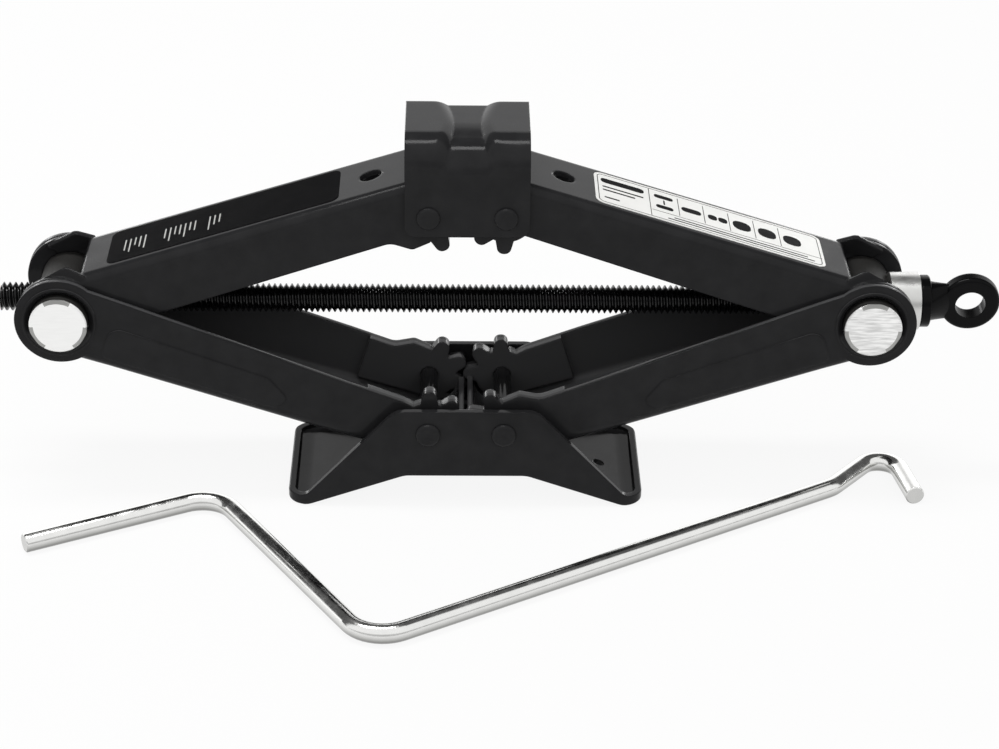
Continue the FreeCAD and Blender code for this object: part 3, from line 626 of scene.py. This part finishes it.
class JACK_OT_rivet_pins(bpy.types.Operator):
    """Turn the riveted pins, with rounded and slightly dished heads"""

    bl_idname = "jack.rivet_pins"
    bl_label = "Rivet Pins"

    def execute(self, context):
        rivet = context.scene.jack.rivet
        coat = bpy.data.materials["satin_black_powder_coat"]
        for body in ("base", "saddle"):
            low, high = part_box(body + "_pin_right")
            twin = self.turn(context, rivet, (high.z - low.z) / 2, high.y)
            twin.location = (low + high) / 2
            bpy.ops.object.duplicate()
            piece = context.object
            piece.location.x = -twin.location.x
            for side, item in (("left", piece), ("right", twin)):
                pin = body + "_pin_" + side
                finish_piece(item, body + "_rivet_" + side, coat, body, [pin])
        return {"FINISHED"}

    def turn(self, context, rivet, head, half):
        """Spin one pin's outline, from the middle of one head to the middle of the other, about Y."""
        start_piece()
        bpy.ops.mesh.primitive_plane_add(size=rivet.dish)
        piece = context.object
        bpy.ops.object.mode_set(mode="EDIT")
        bpy.ops.mesh.merge(type="CENTER")
        outline = self.outline(rivet, head, half)
        bpy.ops.transform.translate(value=(outline[0][0], outline[0][1], 0))
        for (radius, y), (next_radius, next_y) in zip(outline, outline[1:]):
            step = (next_radius - radius, next_y - y, 0)
            bpy.ops.mesh.extrude_region_move(TRANSFORM_OT_translate={"value": step})
        bpy.ops.object.mode_set(mode="OBJECT")
        spin = piece.modifiers.new("spin", "SCREW")
        spin.axis = "Y"
        spin.steps = FACETS
        spin.render_steps = FACETS
        spin.use_merge_vertices = True
        spin.merge_threshold = WELD
        bpy.ops.object.modifier_apply(modifier=spin.name)
        bpy.ops.object.mode_set(mode="EDIT")
        bpy.ops.mesh.select_all(action="SELECT")
        bpy.ops.mesh.remove_doubles(threshold=WELD)
        bpy.ops.mesh.normals_make_consistent(inside=False)
        bpy.ops.object.mode_set(mode="OBJECT")
        bpy.ops.object.shade_smooth_by_angle(angle=SMOOTH_ANGLE)
        return piece

    def outline(self, rivet, head, half):
        """Points (radius, y) of a pin with heads of this radius, from end to end of its half length."""
        points = [
            (0, half - rivet.dish),
            (rivet.dish_radius * DISH_RING_RADIUS, half - rivet.dish * DISH_RING_DEPTH),
            (rivet.dish_radius, half),
        ]
        for number in range(RIM_STEPS):
            angle = math.radians(90 - 90 / RIM_STEPS * (number + 1))
            points.append((
                head - rivet.rim * (1 - math.cos(angle)),
                half - rivet.rim * (1 - math.sin(angle)),
            ))
        points += [(head, half - rivet.height), (rivet.shank, half - rivet.height)]
        return [(radius, -y) for radius, y in points] + points[::-1]


class JACK_OT_press_saddle(bpy.types.Operator):
    """Press the saddle from one sheet, with two pads and a waisted valley"""

    bl_idname = "jack.press_saddle"
    bl_label = "Press Saddle"

    def execute(self, context):
        settings = context.scene.jack.saddle
        low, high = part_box("saddle")
        side = high.y - settings.sheet / 2
        top = high.z - settings.sheet / 2
        bends = {-1: settings.front_bend - settings.sheet / 2, 1: settings.back_bend - settings.sheet / 2}
        piece = self.bend_sheet(context, settings, low, high, side, top, bends)
        self.round_corners(settings, low, high)
        bpy.ops.object.mode_set(mode="OBJECT")
        self.sink(
            piece, "valley", "Z", -settings.front_depth,
            lambda co: self.valley(settings, co, side, top, bends))
        self.sink(
            piece, "dent", "Y", settings.dent,
            lambda co: self.dent(settings, co, side, top - bends[-1]))
        bpy.ops.object.mode_set(mode="EDIT")
        bpy.ops.mesh.select_all(action="SELECT")
        bpy.ops.mesh.remove_doubles(threshold=settings.cell / 10)
        bpy.ops.mesh.normals_make_consistent(inside=False)
        bpy.ops.object.mode_set(mode="OBJECT")
        wall = piece.modifiers.new("wall", "SOLIDIFY")
        wall.thickness = settings.sheet
        wall.offset = 0
        bpy.ops.object.modifier_apply(modifier=wall.name)
        self.drill_pins(context, settings, piece, 3 * high.y)
        piece.select_set(True)
        bpy.ops.object.shade_smooth_by_angle(angle=SMOOTH_ANGLE)
        coat = bpy.data.materials["satin_black_powder_coat"]
        finish_piece(piece, "saddle_pressing", coat, "saddle", ["saddle"])
        return {"FINISHED"}

    def bend_sheet(self, context, settings, low, high, side, top, bends):
        """The sheet's middle face: a top and two walls joined by bends, divided into fine cells."""
        start_piece()
        bpy.ops.mesh.primitive_cube_add(
            size=1, location=(0, 0, (low.z + top) / 2), scale=(2 * high.x, 2 * side, top - low.z))
        piece = context.object
        bpy.ops.object.transform_apply(location=True, rotation=True, scale=True)
        pick(piece, "FACE", lambda normal: normal.z < -0.5 or abs(normal.x) > 0.5)
        bpy.ops.mesh.delete(type="FACE")
        edge = Vector((0, side - settings.cell, top - settings.cell))
        for way, bend in bends.items():
            pick(piece, "EDGE", lambda a, b: min(a.z, b.z) > edge.z and min(way * a.y, way * b.y) > edge.y)
            bpy.ops.mesh.bevel(offset=bend, segments=BEND_SEGMENTS, affect="EDGES")
        for axis in range(3):
            longest = 2 * high[axis] if axis < 2 else top - low.z - bends[1]
            pick(piece, "EDGE", lambda a, b: abs(a[axis] - b[axis]) > bends[1])
            bpy.ops.mesh.subdivide(number_cuts=int(longest / settings.cell))
        return piece

    def round_corners(self, settings, low, high):
        """Cut the walls' lower corners round, by planes that touch the corner's arc."""
        for way in (-1, 1):
            centre = Vector((way * (high.x - settings.corner), 0, low.z + settings.corner))
            for turn in range(CORNER_STEP, 90, CORNER_STEP):
                aim = Vector((way * math.cos(math.radians(turn)), 0, -math.sin(math.radians(turn))))
                bpy.ops.mesh.select_all(action="SELECT")
                bpy.ops.mesh.bisect(plane_co=centre + aim * settings.corner, plane_no=aim, clear_outer=True)

    def drill_pins(self, context, settings, piece, depth):
        """Drill both pin holes through both walls."""
        for way in (-1, 1):
            bpy.ops.mesh.primitive_cylinder_add(
                vertices=FACETS, radius=settings.pin_hole, depth=depth, rotation=(math.pi / 2, 0, 0),
                location=(way * SADDLE_PIN.x, 0, SADDLE_PIN.z))
            drill = context.object
            context.view_layer.objects.active = piece
            hole = piece.modifiers.new("hole", "BOOLEAN")
            hole.operation = "DIFFERENCE"
            hole.object = drill
            bpy.ops.object.modifier_apply(modifier=hole.name)
            bpy.data.objects.remove(drill)

    def sink(self, piece, name, axis, depth, share):
        """Move vertices along an axis, each by its share of a depth."""
        group = piece.vertex_groups.new(name=name)
        for vertex in piece.data.vertices:
            group.add([vertex.index], share(vertex.co), "REPLACE")
        press = piece.modifiers.new(name, "DISPLACE")
        press.direction = axis
        press.mid_level = 0
        press.strength = depth
        press.vertex_group = name
        bpy.ops.object.modifier_apply(modifier=press.name)
        piece.vertex_groups.clear()

    def valley(self, settings, co, side, top, bends):
        """Share of the front depth: full on the floor's front, nothing on the pads and below the bends."""
        bend = bends[-1] if co.y < 0 else bends[1]
        out = min(abs(co.y) / side, 1.0) ** 2
        floor = settings.waist + (settings.mouth - settings.waist) * out
        rim = floor + settings.shoulder + settings.spread * out
        slope = min(max((rim - abs(co.x)) / (rim - floor), 0.0), 1.0) ** 2
        front = smooth(-co.y / side, DEEPEN_START, DEEPEN_END)
        depth = settings.back_depth + (settings.front_depth - settings.back_depth) * front
        return slope * depth / settings.front_depth * smooth(co.z, top - bend - settings.fade, top - bend)

    def dent(self, settings, co, side, bend_foot):
        """Share of the dent on the front face, deepest just under the bend."""
        if co.y > 0:
            return 0.0
        across = 1 - smooth(abs(co.x), settings.waist, settings.mouth + 2 * settings.shoulder)
        down = smooth(co.z, bend_foot - settings.fade, bend_foot)
        return across * down * smooth(-co.y, side - settings.front_bend, side)


class JACK_OT_cut_thread(bpy.types.Operator):
    """Cut the lead screw's helical thread"""

    bl_idname = "jack.cut_thread"
    bl_label = "Cut Thread"

    def execute(self, context):
        settings = context.scene.jack.screw
        paint = context.scene.jack.paint
        low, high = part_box("lead_screw")
        stop = TRUNNION.x - settings.runout
        piece = self.wind(context, settings, low.x, stop)
        self.add_shank(context, settings, stop, high.x)
        piece.select_set(True)
        context.view_layer.objects.active = piece
        bpy.ops.object.join()
        # Black oxide looks like the coat but darker, and its oil shines more on the thread than on the eye
        oiled = powder_coat(
            "oiled_black_thread", paint.oxide, paint.oxide, paint, paint.oil_roughness, paint.thread_round,
            ior=1.45)
        finish_piece(piece, "screw_thread", oiled, "screw", ["lead_screw"])
        oxide = powder_coat(
            "black_oxide", paint.oxide, paint.oxide, paint, paint.oil_roughness, paint.edge_round / 2)
        dress(oxide, ["screw_eye"])
        return {"FINISHED"}

    def wind(self, context, settings, first, stop):
        """Wind one turn's outline along X, and cut the thread off square at both ends."""
        start = first - settings.pitch
        turns = math.ceil((stop - start) / settings.pitch) + 1
        flank = (settings.pitch - settings.crest - settings.root) / 2
        start_piece()
        bpy.ops.mesh.primitive_plane_add(size=settings.root, location=(0, 0, TRUNNION.z))
        piece = context.object
        bpy.ops.object.mode_set(mode="EDIT")
        bpy.ops.mesh.merge(type="CENTER")
        bpy.ops.transform.translate(value=(start, 0, settings.radius - settings.depth))
        for run, rise in (
            (settings.root, 0), (flank, settings.depth), (settings.crest, 0), (flank, -settings.depth),
        ):
            bpy.ops.mesh.extrude_region_move(TRANSFORM_OT_translate={"value": (run, 0, rise)})
        bpy.ops.object.mode_set(mode="OBJECT")
        winding = piece.modifiers.new("winding", "SCREW")
        winding.axis = "X"
        winding.screw_offset = settings.pitch
        winding.iterations = turns
        winding.steps = settings.steps
        winding.render_steps = settings.steps
        winding.use_merge_vertices = True
        winding.merge_threshold = WELD
        bpy.ops.object.modifier_apply(modifier=winding.name)
        bpy.ops.object.mode_set(mode="EDIT")
        for place, way in ((first, -1), (stop, 1)):
            bpy.ops.mesh.select_all(action="SELECT")
            bpy.ops.mesh.bisect(
                plane_co=(place, 0, TRUNNION.z), plane_no=(way, 0, 0), use_fill=True, clear_outer=True,
                threshold=CUT_TOLERANCE)
        bpy.ops.mesh.select_all(action="SELECT")
        bpy.ops.mesh.normals_make_consistent(inside=False)
        bpy.ops.object.mode_set(mode="OBJECT")
        bpy.ops.object.shade_smooth_by_angle(angle=THREAD_SMOOTH_ANGLE)
        return piece

    def add_shank(self, context, settings, stop, end):
        """The plain shank, from inside the thread's last turn to the screw's end."""
        length = end - stop + settings.pitch
        bpy.ops.mesh.primitive_cylinder_add(
            vertices=FACETS, radius=settings.shank, depth=length, location=(end - length / 2, 0, TRUNNION.z),
            rotation=(0, math.pi / 2, 0))
        bpy.ops.object.shade_smooth_by_angle(angle=SMOOTH_ANGLE)


class JACK_OT_finish_metal(bpy.types.Operator):
    """Finish the trunnions, the bearing and the crank in bright steel"""

    bl_idname = "jack.finish_metal"
    bl_label = "Finish Metal"

    def execute(self, context):
        metal = context.scene.jack.metal
        dress(turned_steel("turned_trunnion_steel", metal), ["trunnion_nut", "trunnion_block"])
        ground = plated_steel("ground_bearing_steel", metal.sleeve, roughness=0.3, grain=0.8 * MM)
        dress(ground, ["bearing_sleeve", "thrust_race_fixed", "thrust_race_turning", "thrust_balls"])
        # The crank's underside is painted darker, as painted shade
        plated = plated_steel("zinc_plated_rod", metal.zinc, roughness=0.14, grain=1.2 * MM, painted_shade=metal.painted_shade)
        dress(plated, ["crank_handle"])
        return {"FINISHED"}


class JACK_OT_lay_labels(bpy.types.Operator):
    """Lay the two label films on the upper arms, with plain ruled print"""

    bl_idname = "jack.lay_labels"
    bl_label = "Lay Labels"

    def execute(self, context):
        label = context.scene.jack.label
        dress(printed_film("dark_vinyl_film", label.dark_film, roughness=0.5, ior=1.04), ["label_left"])
        dress(printed_film("pale_vinyl_film", label.pale_film, roughness=0.34), ["label_right"])
        dark_ink = printed_film("dark_print", label.dark_ink, roughness=0.45, ior=1.06)
        pale_ink = printed_film("pale_print", label.pale_ink, roughness=0.4)
        ruled = [self.border(context)] + self.bars(context, self.table())
        self.lay_print(context, "right", ruled, dark_ink, "label_black")
        self.lay_print(context, "left", self.bars(context, self.columns()), pale_ink, "label_white")
        return {"FINISHED"}

    def table(self):
        """Ruled columns with plain blocks, a plain heading beside them and two lines at their foot.

        Bars are (along, across, length, width) in millimetres from the film's middle.
        """
        column = 11.8
        rule = 0.3
        rules = [(14.2 - column * number, -3.0, rule, 18.0) for number in range(5)]
        rules += [(27.6, 0, rule, 28.6), (-12.5, 7.2, 79.0, rule)]
        heading = [(40.0, -8.4, 20.0, 4.6), (40.0, -2.0, 19.0, 1.2)]
        heading += [(42.0, 1.4, 15.0, 1.2), (45.5, 9.0, 7.0, 1.2)]
        blocks = [(20.9, -8.4, 8.8, 3.4), (20.9, -3.2, 0.7, 4.6), (20.9, 2.0, 8.0, 3.4)]
        blocks += [(8.3, -2.6, 9.2, 4.6), (-1.6, -2.6, 4.2, 5.0), (-6.4, -2.6, 4.2, 5.0)]
        blocks += [(-15.3 - column * number, -2.6, 8.4, 9.0) for number in range(3)]
        foot = [(-14.0, 9.8, 62.0, 0.8), (-14.0, 12.0, 68.0, 0.8)]
        return rules + heading + blocks + foot

    def columns(self):
        """Three groups of thin bars of uneven length, level at their far ends, measured as the table's."""
        spacing = 2.3
        thickness = 0.6
        far_end = 4.0
        bars = []
        for first, count in ((-45.5, 5), (-27.0, 7), (-6.5, 3)):
            for number in range(count):
                run = 10.5 + 3.2 * math.cos(2.1 * number + first)
                bars.append((first + spacing * number, far_end - run / 2, thickness, run))
        return bars

    def border(self, context):
        """A line round the film, just inside its edge."""
        label = context.scene.jack.label
        start_piece()
        bpy.ops.mesh.primitive_plane_add(size=2)
        piece = context.object
        piece.scale = (label.length / 2 - label.margin, label.half_width - label.margin, 1)
        bpy.ops.object.transform_apply(location=True, rotation=True, scale=True)
        bpy.ops.object.mode_set(mode="EDIT")
        bpy.ops.mesh.select_all(action="SELECT")
        bpy.ops.mesh.bevel(offset=2 * label.margin, segments=8, affect="VERTICES")
        bpy.ops.mesh.select_all(action="SELECT")
        bpy.ops.mesh.inset(thickness=label.line)
        bpy.ops.mesh.delete(type="FACE")
        return piece

    def bars(self, context, places):
        """A flat bar at each place, its corners rounded in proportion to its narrow side."""
        shapes = []
        for along, across, length, width in places:
            start_piece()
            bpy.ops.mesh.primitive_plane_add(size=2)
            piece = context.object
            piece.scale = (length * MM / 2, width * MM / 2, 1)
            piece.location = (along * MM, across * MM, 0)
            bpy.ops.object.transform_apply(location=True, rotation=True, scale=True)
            bpy.ops.object.mode_set(mode="EDIT")
            bpy.ops.mesh.select_all(action="SELECT")
            bpy.ops.mesh.bevel(offset=0.4 * min(length, width) * MM, segments=3, affect="VERTICES")
            bpy.ops.object.mode_set(mode="OBJECT")
            shapes.append(piece)
        return shapes

    def lay_print(self, context, side, shapes, ink, slot):
        """Join flat shapes, give them the ink's thickness and lay them on one arm's film."""
        label = context.scene.jack.label
        start_piece()
        for shape in shapes:
            shape.select_set(True)
        piece = shapes[0]
        context.view_layer.objects.active = piece
        bpy.ops.object.join()
        bpy.ops.object.mode_set(mode="EDIT")
        bpy.ops.mesh.select_all(action="SELECT")
        bpy.ops.mesh.extrude_region_move(TRANSFORM_OT_translate={"value": (0, 0, label.ink)})
        bpy.ops.mesh.select_all(action="SELECT")
        bpy.ops.mesh.normals_make_consistent(inside=False)
        bpy.ops.transform.translate(value=(label.start + label.length / 2, 0, label.rise))
        bpy.ops.object.mode_set(mode="OBJECT")
        way = 1 if side == "right" else -1
        piece.rotation_euler = (0, -ARM_SLOPE, math.pi if side == "right" else 0)
        piece.location = (way * TRUNNION.x, 0, TRUNNION.z)
        finish_piece(piece, "label_print_" + side, ink, "upper_" + side)


class JACK_OT_set_stage(bpy.types.Operator):
    """Set the floor, the surround, the lamps and the camera"""

    bl_idname = "jack.set_stage"
    bl_label = "Set Stage"

    def execute(self, context):
        stage = context.scene.jack.stage
        context.scene.view_settings.view_transform = "Standard"
        self.lay_floor(context, stage)
        self.light_surround(context, stage)
        self.hang_lamps(context)
        self.aim_camera(context, stage)
        return {"FINISHED"}

    def lay_floor(self, context, stage):
        """A matt floor that takes shadows, mostly plain white to the camera and in reflections."""
        start_piece()
        bpy.ops.mesh.primitive_plane_add(size=FLOOR_SIZE, location=(0, 0, 0))
        floor = context.object
        floor.name = "floor"
        material, tree = new_material("pale_floor")
        path = add_node(tree, "ShaderNodeLightPath")
        seen = add_node(tree, "ShaderNodeMath", {"operation": "MAXIMUM"}, {
            0: path.outputs["Is Camera Ray"], 1: path.outputs["Is Glossy Ray"]})
        seen = add_node(tree, "ShaderNodeMath", {"operation": "MAXIMUM"}, {
            0: seen.outputs[0], 1: path.outputs["Is Transmission Ray"]})
        share = add_node(tree, "ShaderNodeMath", {"operation": "MULTIPLY"}, {
            0: seen.outputs[0], 1: stage.glow})
        matt = add_node(tree, "ShaderNodeBsdfDiffuse", None, {"Color": linear(stage.floor)})
        glow = add_node(tree, "ShaderNodeEmission", None, {"Color": (1, 1, 1, 1), "Strength": 1.0})
        both = add_node(tree, "ShaderNodeMixShader", None, {
            0: share.outputs[0], 1: matt.outputs[0], 2: glow.outputs[0]})
        add_node(tree, "ShaderNodeOutputMaterial", None, {"Surface": both.outputs[0]})
        floor.data.materials.append(material)

    def light_surround(self, context, stage):
        """A studio whose brightness changes from the front horizon, over the top, to the back horizon."""
        world = bpy.data.worlds.new("studio")
        context.scene.world = world
        world.use_nodes = True
        sky = world.node_tree
        sky.nodes.clear()
        way = add_node(sky, "ShaderNodeTexCoord").outputs["Generated"]
        axes = add_node(sky, "ShaderNodeSeparateXYZ", None, {"Vector": way})
        front = add_node(sky, "ShaderNodeMath", {"operation": "MULTIPLY"}, {0: axes.outputs["Y"], 1: -1.0})
        climb = add_node(sky, "ShaderNodeMath", {"operation": "ARCTAN2"}, {
            0: axes.outputs["Z"], 1: front.outputs[0]})
        turn = add_node(sky, "ShaderNodeMath", {"operation": "DIVIDE"}, {0: climb.outputs[0], 1: math.pi})
        ramp = add_node(sky, "ShaderNodeValToRGB", None, {"Fac": turn.outputs[0]})
        elements = ramp.color_ramp.elements
        for degrees, level in SURROUND_STOPS:
            if degrees == 0:
                stop = elements[0]
            elif degrees == 180:
                stop = elements[-1]
            else:
                stop = elements.new(degrees / 180)
            stop.color = (level, level, level, 1)
        surround = add_node(sky, "ShaderNodeBackground", None, {
            "Color": ramp.outputs["Color"], "Strength": stage.surround})
        add_node(sky, "ShaderNodeOutputWorld", None, {"Surface": surround.outputs[0]})

    def hang_lamps(self, context):
        """The lamps, each turned to its aim."""
        for name, place, aim, width, depth, watts in LAMPS:
            lamp = bpy.data.lights.new(name, "AREA")
            lamp.shape = "RECTANGLE"
            lamp.size = width
            lamp.size_y = depth
            lamp.energy = watts
            holder = bpy.data.objects.new(name, lamp)
            context.scene.collection.objects.link(holder)
            holder.location = place
            holder.rotation_euler = (Vector(aim) - Vector(place)).to_track_quat("-Z", "Y").to_euler()

    def aim_camera(self, context, stage):
        """The camera, turned by yaw, then pitch, then roll."""
        lens = bpy.data.cameras.new("photo_camera")
        lens.lens = stage.lens
        lens.sensor_width = SENSOR_WIDTH
        lens.sensor_fit = "HORIZONTAL"
        camera = bpy.data.objects.new("photo_camera", lens)
        context.scene.collection.objects.link(camera)
        turn = Matrix.Rotation(stage.yaw, 3, "Z")
        ahead = turn @ Vector((0, math.cos(stage.pitch), -math.sin(stage.pitch)))
        up = turn @ Vector((0, math.sin(stage.pitch), math.cos(stage.pitch)))
        right = turn @ Vector((1, 0, 0))
        level_right = math.cos(stage.roll) * right + math.sin(stage.roll) * up
        level_up = -math.sin(stage.roll) * right + math.cos(stage.roll) * up
        aimed = Matrix((level_right, level_up, -ahead)).transposed().to_4x4()
        aimed.translation = stage.camera
        camera.matrix_world = aimed
        context.scene.camera = camera


class JACK_PT_pieces(bpy.types.Panel):
    """Lists the jack's steps"""

    bl_label = "Scissor Jack"
    bl_space_type = "VIEW_3D"
    bl_region_type = "UI"
    bl_category = "Jack"

    def draw(self, context):
        for step in STEPS:
            self.layout.operator(step.bl_idname)


STEPS = (
    JACK_OT_coat_pressings,
    JACK_OT_rivet_pins,
    JACK_OT_press_saddle,
    JACK_OT_cut_thread,
    JACK_OT_finish_metal,
    JACK_OT_lay_labels,
    JACK_OT_set_stage,
)
CLASSES = (
    JackPaint, JackMetal, JackRivet, JackScrew, JackSaddle, JackLabel, JackStage, JackSettings,
    *STEPS, JACK_PT_pieces,
)


def register():
    for item in CLASSES:
        bpy.utils.register_class(item)
    bpy.types.Scene.jack = PointerProperty(type=JackSettings)


def unregister():
    del bpy.types.Scene.jack
    for item in reversed(CLASSES):
        bpy.utils.unregister_class(item)


def main():
    register()
    bpy.ops.jack.coat_pressings()
    bpy.ops.jack.rivet_pins()
    bpy.ops.jack.press_saddle()
    bpy.ops.jack.cut_thread()
    bpy.ops.jack.finish_metal()
    bpy.ops.jack.lay_labels()
    bpy.ops.jack.set_stage()


if __name__ == "__main__":
    main()
